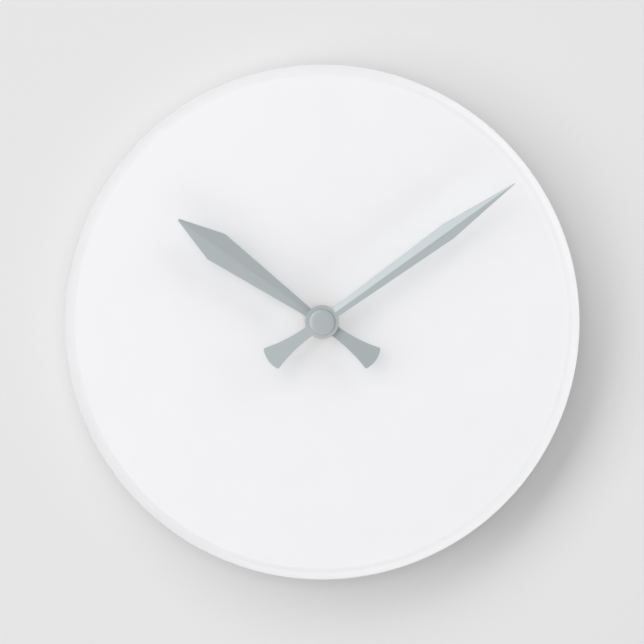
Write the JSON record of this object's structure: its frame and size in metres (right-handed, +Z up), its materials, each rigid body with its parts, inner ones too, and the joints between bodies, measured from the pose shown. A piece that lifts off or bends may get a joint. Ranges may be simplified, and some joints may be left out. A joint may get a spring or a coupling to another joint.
{
  "type": "wall clock",
  "caption": "Round frameless wall clock: a white acrylic disc with two silver hands, driven by a battery quartz movement behind it that hangs on a nail.",
  "frame": {"origin": "on the axis of the hands, in the wall plane at the back of the movement", "axes": "+X right as seen from the front, +Y into the wall along the hand axis, +Z up"},
  "size_m": [0.2032, 0.0351, 0.2032],
  "materials": {
    "white_acrylic": "polished",
    "black_moulding": "fine moulded texture",
    "brass": "turned",
    "black_rubber": "matt",
    "zinc_steel": "zinc plated",
    "white_moulding": "moulded",
    "motor_steel": "rolled",
    "copper_wire": "enamelled",
    "green_board": "solder mask",
    "black_epoxy": "cast",
    "nickel_strip": "nickel plated",
    "ferrite": "sintered",
    "cell_steel": "nickel plated",
    "cell_sleeve": "printed film",
    "silver_hand": "satin silver"
  },
  "bodies": {
    "movement": {"dial_plate": "white_acrylic", "front_case": "black_moulding", "rear_cover": "black_moulding", "centre_bushing": "brass", "rubber_washer": "black_rubber", "flat_washer": "brass", "hex_nut": "brass", "middle_plate": "white_moulding", "stator_plate": "motor_steel", "coil_core": "motor_steel", "coil_bobbin": "white_moulding", "coil_winding": "copper_wire", "circuit_board": "green_board", "ic_chip": "black_epoxy", "quartz_crystal": "nickel_strip", "positive_contact": "nickel_strip", "negative_contact": "nickel_strip"},
    "battery": {"battery_can": "cell_steel", "battery_wrap": "cell_sleeve"},
    "hour_group": {"hour_wheel": "white_moulding", "hour_hand": "silver_hand", "hour_hand_collet": "zinc_steel"},
    "minute_group": {"minute_arbor": "brass", "centre_wheel": "white_moulding", "clutch_spring": "nickel_strip", "minute_hand": "silver_hand", "minute_hand_hub": "silver_hand", "cap_nut": "silver_hand"},
    "motion_group": {"motion_wheel": "white_moulding"},
    "setting_group": {"setting_arbor": "white_moulding", "setting_knob": "white_moulding"},
    "third_group": {"third_wheel": "white_moulding"},
    "seconds_group": {"seconds_wheel": "white_moulding", "seconds_shaft": "zinc_steel"},
    "intermediate_group": {"intermediate_wheel": "white_moulding"},
    "rotor_group": {"rotor_pinion": "white_moulding", "rotor_magnet": "ferrite"}
  },
  "joints": [
    {"name": "minute_turn", "type": "hinge", "parent": "movement", "child": "minute_group", "pos_m": [0, 0, 0], "axis": [0, 1, 0], "continuous": true},
    {"name": "hour_turn", "type": "hinge", "parent": "movement", "child": "hour_group", "pos_m": [0, 0, 0], "axis": [0, 1, 0], "continuous": true},
    {"name": "motion_turn", "type": "hinge", "parent": "movement", "child": "motion_group", "pos_m": [-0.00894, 0, 0.0035], "axis": [0, 1, 0], "continuous": true},
    {"name": "setting_turn", "type": "hinge", "parent": "movement", "child": "setting_group", "pos_m": [-0.016, 0, -0.003], "axis": [0, 1, 0], "continuous": true},
    {"name": "third_turn", "type": "hinge", "parent": "movement", "child": "third_group", "pos_m": [0.01054, 0, 0.00384], "axis": [0, 1, 0], "continuous": true},
    {"name": "seconds_turn", "type": "hinge", "parent": "movement", "child": "seconds_group", "pos_m": [0, 0, 0], "axis": [0, 1, 0], "continuous": true},
    {"name": "intermediate_turn", "type": "hinge", "parent": "movement", "child": "intermediate_group", "pos_m": [-0.00578, 0, 0.00826], "axis": [0, 1, 0], "continuous": true},
    {"name": "rotor_turn", "type": "hinge", "parent": "movement", "child": "rotor_group", "pos_m": [-0.01345, 0, 0.01105], "axis": [0, 1, 0], "continuous": true},
    {"name": "battery_slide", "type": "slide", "parent": "movement", "child": "battery", "axis": [0, 1, 0], "range_m": [0, 0.02]}
  ],
  "couplings": [
    {"joint": "hour_turn", "follows": "minute_turn", "ratio": 0.083333},
    {"joint": "motion_turn", "follows": "minute_turn", "ratio": -0.33333},
    {"joint": "setting_turn", "follows": "minute_turn", "ratio": 1},
    {"joint": "third_turn", "follows": "minute_turn", "ratio": -8},
    {"joint": "seconds_turn", "follows": "minute_turn", "ratio": 60},
    {"joint": "intermediate_turn", "follows": "minute_turn", "ratio": -360},
    {"joint": "rotor_turn", "follows": "minute_turn", "ratio": 1800}
  ]
}
